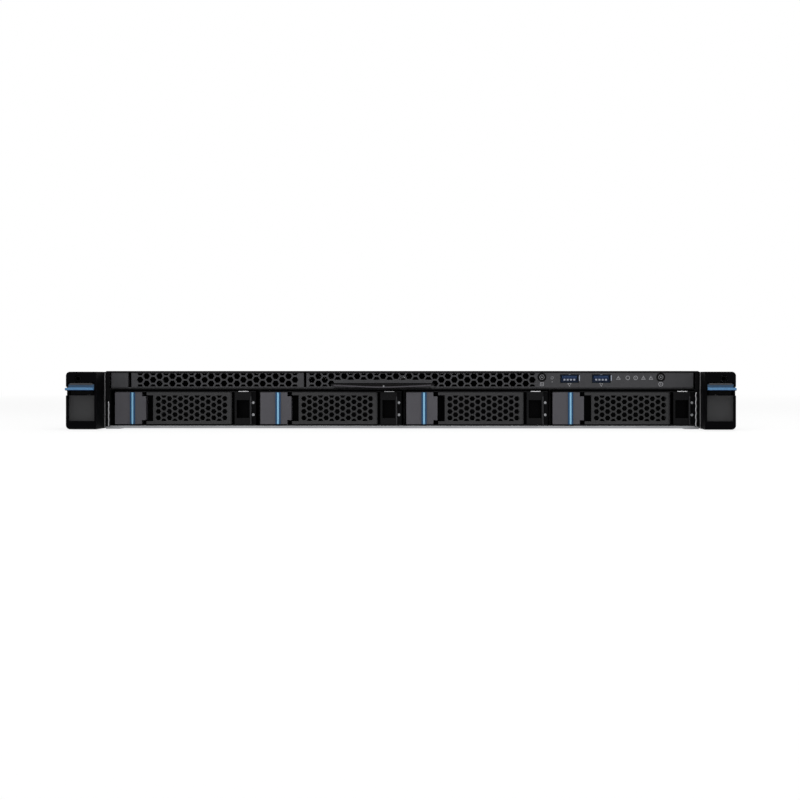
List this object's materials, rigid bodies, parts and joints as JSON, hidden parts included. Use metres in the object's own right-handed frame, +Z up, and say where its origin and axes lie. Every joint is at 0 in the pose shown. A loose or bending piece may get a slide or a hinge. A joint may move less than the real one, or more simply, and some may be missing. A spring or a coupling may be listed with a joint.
{
  "type": "rack server",
  "caption": "Flat rack server with hot-swap drive trays in front, latching rack ears, sliding top cover and hot-swap power supplies at the rear.",
  "frame": {"origin": "on the plane the server rests on, under the centre of its bounding box", "axes": "+X to the right seen from the front, +Y towards the rear, +Z up"},
  "size_m": [0.4826, 0.7054, 0.0428],
  "materials": {
    "zinc_steel": "zinc plated sheet, satin",
    "black_steel": "black powder coat, fine texture",
    "dark_plastic": "charcoal moulding, fine texture",
    "grey_plastic": "dark grey moulding, satin",
    "black_plastic": "black moulding",
    "latch_plastic": "dark blue-grey moulding with a blue lip",
    "release_plastic": "dark grey moulding with a blue rib",
    "button_plastic": "satin black",
    "tag_plastic": "grey translucent plastic",
    "port_metal": "nickel plated",
    "board_green": "solder mask over laminate",
    "fin_metal": "extruded, plain",
    "chip_metal": "nickel plated lid",
    "drive_metal": "cast, black e-coat",
    "touch_plastic": "terracotta touch point",
    "duct_plastic": "black sheet plastic"
  },
  "bodies": {
    "root": {"chassis": "zinc_steel", "front_panel": "dark_plastic", "optical_bay_blank": "dark_plastic", "usb_ports": "port_metal", "control_board": "board_green", "front_cover": "zinc_steel", "drive_cage": "black_steel", "drive_backplane": "board_green", "ear_left": "black_plastic", "ear_right": "black_plastic", "ear_cover_left": "grey_plastic", "ear_cover_right": "grey_plastic", "fan_bracket": "zinc_steel", "fan_frame_1": "black_plastic", "fan_frame_2": "black_plastic", "fan_frame_3": "black_plastic", "fan_frame_4": "black_plastic", "fan_frame_5": "black_plastic", "motherboard": "board_green", "processor": "chip_metal", "heat_sink": "fin_metal", "memory_modules": "board_green", "air_duct": "duct_plastic", "riser_bracket": "zinc_steel", "rear_panel": "zinc_steel", "rear_ports": "port_metal", "supply_bay": "zinc_steel", "power_board": "board_green"},
    "drive_tray_1": {"drive_tray_1": "black_steel", "hard_drive_1": "drive_metal"},
    "tray_handle_1": {"tray_handle_1": "dark_plastic"},
    "tray_release_1": {"tray_release_1": "release_plastic"},
    "drive_tray_2": {"drive_tray_2": "black_steel", "hard_drive_2": "drive_metal"},
    "tray_handle_2": {"tray_handle_2": "dark_plastic"},
    "tray_release_2": {"tray_release_2": "release_plastic"},
    "drive_tray_3": {"drive_tray_3": "black_steel", "hard_drive_3": "drive_metal"},
    "tray_handle_3": {"tray_handle_3": "dark_plastic"},
    "tray_release_3": {"tray_release_3": "release_plastic"},
    "drive_tray_4": {"drive_tray_4": "black_steel", "hard_drive_4": "drive_metal"},
    "tray_handle_4": {"tray_handle_4": "dark_plastic"},
    "tray_release_4": {"tray_release_4": "release_plastic"},
    "info_tag": {"info_tag": "tag_plastic"},
    "power_button": {"power_button": "button_plastic"},
    "id_button": {"id_button": "button_plastic"},
    "rack_latch_left": {"rack_latch_left": "latch_plastic"},
    "rack_latch_right": {"rack_latch_right": "latch_plastic"},
    "fan_rotor_1": {"fan_rotor_1": "black_plastic"},
    "fan_rotor_2": {"fan_rotor_2": "black_plastic"},
    "fan_rotor_3": {"fan_rotor_3": "black_plastic"},
    "fan_rotor_4": {"fan_rotor_4": "black_plastic"},
    "fan_rotor_5": {"fan_rotor_5": "black_plastic"},
    "power_supply_1": {"power_supply_1": "zinc_steel"},
    "supply_latch_1": {"supply_latch_1": "touch_plastic"},
    "power_supply_2": {"power_supply_2": "zinc_steel"},
    "supply_latch_2": {"supply_latch_2": "touch_plastic"},
    "top_cover": {"top_cover": "zinc_steel"},
    "cover_latch": {"cover_latch": "touch_plastic"}
  },
  "joints": [
    {"name": "tray_slide_1", "type": "slide", "parent": "root", "child": "drive_tray_1", "axis": [0, -1, 0], "range_m": [0, 0.15]},
    {"name": "handle_swing_1", "type": "hinge", "parent": "drive_tray_1", "child": "tray_handle_1", "pos_m": [-0.1278, -0.3192, 0.01525], "axis": [0, 0, 1], "range_deg": [0, 75]},
    {"name": "release_slide_1", "type": "slide", "parent": "drive_tray_1", "child": "tray_release_1", "axis": [-1, 0, 0], "range_m": [0, 0.0015], "stiffness_N_per_m": 600},
    {"name": "tray_slide_2", "type": "slide", "parent": "root", "child": "drive_tray_2", "axis": [0, -1, 0], "range_m": [0, 0.15]},
    {"name": "handle_swing_2", "type": "hinge", "parent": "drive_tray_2", "child": "tray_handle_2", "pos_m": [-0.0198, -0.3192, 0.01525], "axis": [0, 0, 1], "range_deg": [0, 75]},
    {"name": "release_slide_2", "type": "slide", "parent": "drive_tray_2", "child": "tray_release_2", "axis": [-1, 0, 0], "range_m": [0, 0.0015], "stiffness_N_per_m": 600},
    {"name": "tray_slide_3", "type": "slide", "parent": "root", "child": "drive_tray_3", "axis": [0, -1, 0], "range_m": [0, 0.15]},
    {"name": "handle_swing_3", "type": "hinge", "parent": "drive_tray_3", "child": "tray_handle_3", "pos_m": [0.0882, -0.3192, 0.01525], "axis": [0, 0, 1], "range_deg": [0, 75]},
    {"name": "release_slide_3", "type": "slide", "parent": "drive_tray_3", "child": "tray_release_3", "axis": [-1, 0, 0], "range_m": [0, 0.0015], "stiffness_N_per_m": 600},
    {"name": "tray_slide_4", "type": "slide", "parent": "root", "child": "drive_tray_4", "axis": [0, -1, 0], "range_m": [0, 0.15]},
    {"name": "handle_swing_4", "type": "hinge", "parent": "drive_tray_4", "child": "tray_handle_4", "pos_m": [0.1962, -0.3192, 0.01525], "axis": [0, 0, 1], "range_deg": [0, 75]},
    {"name": "release_slide_4", "type": "slide", "parent": "drive_tray_4", "child": "tray_release_4", "axis": [-1, 0, 0], "range_m": [0, 0.0015], "stiffness_N_per_m": 600},
    {"name": "tag_slide", "type": "slide", "parent": "root", "child": "info_tag", "axis": [0, -1, 0], "range_m": [0, 0.055]},
    {"name": "power_button_press", "type": "slide", "parent": "root", "child": "power_button", "axis": [0, 1, 0], "range_m": [0, 0.0012], "stiffness_N_per_m": 800},
    {"name": "id_button_press", "type": "slide", "parent": "root", "child": "id_button", "axis": [0, 1, 0], "range_m": [0, 0.0012], "stiffness_N_per_m": 800},
    {"name": "rack_latch_left_swing", "type": "hinge", "parent": "root", "child": "rack_latch_left", "pos_m": [-0.2303, -0.3475, 0.0325], "axis": [-1, 0, 0], "range_deg": [0, 10], "stiffness_Nm_per_rad": 0.2},
    {"name": "rack_latch_right_swing", "type": "hinge", "parent": "root", "child": "rack_latch_right", "pos_m": [0.2303, -0.3475, 0.0325], "axis": [-1, 0, 0], "range_deg": [0, 10], "stiffness_Nm_per_rad": 0.2},
    {"name": "fan_spin_1", "type": "hinge", "parent": "root", "child": "fan_rotor_1", "pos_m": [-0.16, -0.1073, 0.02165], "axis": [0, 1, 0], "continuous": true},
    {"name": "fan_spin_2", "type": "hinge", "parent": "root", "child": "fan_rotor_2", "pos_m": [-0.08, -0.1073, 0.02165], "axis": [0, 1, 0], "continuous": true},
    {"name": "fan_spin_3", "type": "hinge", "parent": "root", "child": "fan_rotor_3", "pos_m": [0, -0.1073, 0.02165], "axis": [0, 1, 0], "continuous": true},
    {"name": "fan_spin_4", "type": "hinge", "parent": "root", "child": "fan_rotor_4", "pos_m": [0.08, -0.1073, 0.02165], "axis": [0, 1, 0], "continuous": true},
    {"name": "fan_spin_5", "type": "hinge", "parent": "root", "child": "fan_rotor_5", "pos_m": [0.16, -0.1073, 0.02165], "axis": [0, 1, 0], "continuous": true},
    {"name": "supply_slide_1", "type": "slide", "parent": "root", "child": "power_supply_1", "axis": [0, 1, 0], "range_m": [0, 0.17]},
    {"name": "supply_latch_1_press", "type": "slide", "parent": "power_supply_1", "child": "supply_latch_1", "axis": [-1, 0, 0], "range_m": [0, 0.0025], "stiffness_N_per_m": 600},
    {"name": "supply_slide_2", "type": "slide", "parent": "root", "child": "power_supply_2", "axis": [0, 1, 0], "range_m": [0, 0.17]},
    {"name": "supply_latch_2_press", "type": "slide", "parent": "power_supply_2", "child": "supply_latch_2", "axis": [-1, 0, 0], "range_m": [0, 0.0025], "stiffness_N_per_m": 600},
    {"name": "cover_slide", "type": "slide", "parent": "root", "child": "top_cover", "axis": [0, 1, 0], "range_m": [0, 0.012]},
    {"name": "cover_latch_swing", "type": "hinge", "parent": "top_cover", "child": "cover_latch", "pos_m": [-0.124, 0.3077, 0.0398], "axis": [-1, 0, 0], "range_deg": [0, 60]}
  ],
  "couplings": [
    {"joint": "cover_latch_swing", "follows": "cover_slide", "rad_per_m": 87.2}
  ]
}
